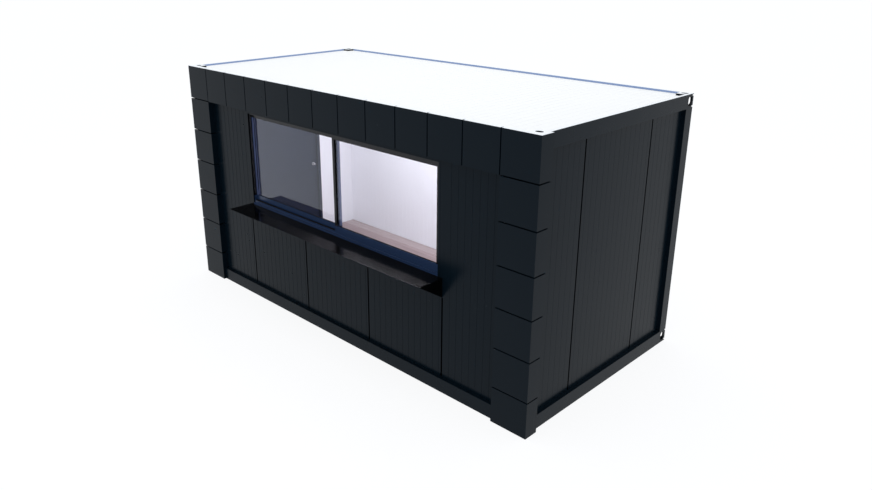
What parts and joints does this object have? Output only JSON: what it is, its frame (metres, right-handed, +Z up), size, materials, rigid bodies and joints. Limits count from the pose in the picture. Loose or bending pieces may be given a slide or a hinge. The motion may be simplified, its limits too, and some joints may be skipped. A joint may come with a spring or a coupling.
{
  "type": "sales container",
  "caption": "Steel-framed sales cabin with a sliding service window over a sloping counter shelf, cassette dressing and an end door.",
  "frame": {"origin": "middle of the ground under the whole outline", "axes": "+X along the length to the right, +Z up, the service window faces -Y"},
  "size_m": [5.06, 2.655, 2.6],
  "materials": {
    "frame_paint": "anthracite polyester paint, semi gloss",
    "wall_paint": "anthracite coated sheet, semi gloss",
    "cassette_paint": "anthracite powder coat, semi gloss",
    "door_paint": "anthracite coated sheet, semi gloss",
    "window_profile": "dark anodised look, semi gloss",
    "shelf_gloss": "black gloss lacquer",
    "roof_paint": "white coated sheet",
    "ceiling_paint": "white coated board",
    "galvanised": "galvanised",
    "floor_plank": "grey brown laminate planks",
    "pane": "clear float glass",
    "satin_steel": "satin"
  },
  "bodies": {
    "container": {"bottom_rail_front": "frame_paint", "bottom_rail_back": "frame_paint", "bottom_rail_left": "frame_paint", "bottom_rail_right": "frame_paint", "top_rail_front": "frame_paint", "top_rail_back": "frame_paint", "top_rail_left": "frame_paint", "top_rail_right": "frame_paint", "post_front_left": "frame_paint", "post_front_right": "frame_paint", "post_back_left": "frame_paint", "post_back_right": "frame_paint", "top_castings": "frame_paint", "bottom_castings": "frame_paint", "front_wall_left": "wall_paint", "front_wall_right": "wall_paint", "front_wall_below_window": "wall_paint", "front_wall_above_window": "wall_paint", "back_wall": "wall_paint", "right_wall": "wall_paint", "left_wall_front": "wall_paint", "left_wall_back": "wall_paint", "left_wall_over_door": "wall_paint", "floor_cross_members": "galvanised", "floor_board": "floor_plank", "ceiling": "ceiling_paint", "roof_sheet": "roof_paint", "window_frame": "window_profile", "window_sash_left": "window_profile", "window_sash_right": "window_profile", "window_glass_left": "pane", "window_glass_right": "pane", "counter_shelf": "shelf_gloss", "band_cassettes": "cassette_paint", "left_column_cassettes": "cassette_paint", "right_column_cassettes": "cassette_paint", "top_corner_cassettes": "cassette_paint", "door_frame": "frame_paint", "door_threshold": "galvanised", "door_hinges_fixed": "galvanised"},
    "door": {"door_leaf": "door_paint", "door_knobs": "satin_steel", "door_hinges_moving": "galvanised"}
  },
  "joints": [
    {"name": "door_hinge", "type": "hinge", "parent": "container", "child": "door", "pos_m": [-2.4693, -0.3738, 1.16], "axis": [0, 0, 1], "range_deg": [0, 105]}
  ]
}
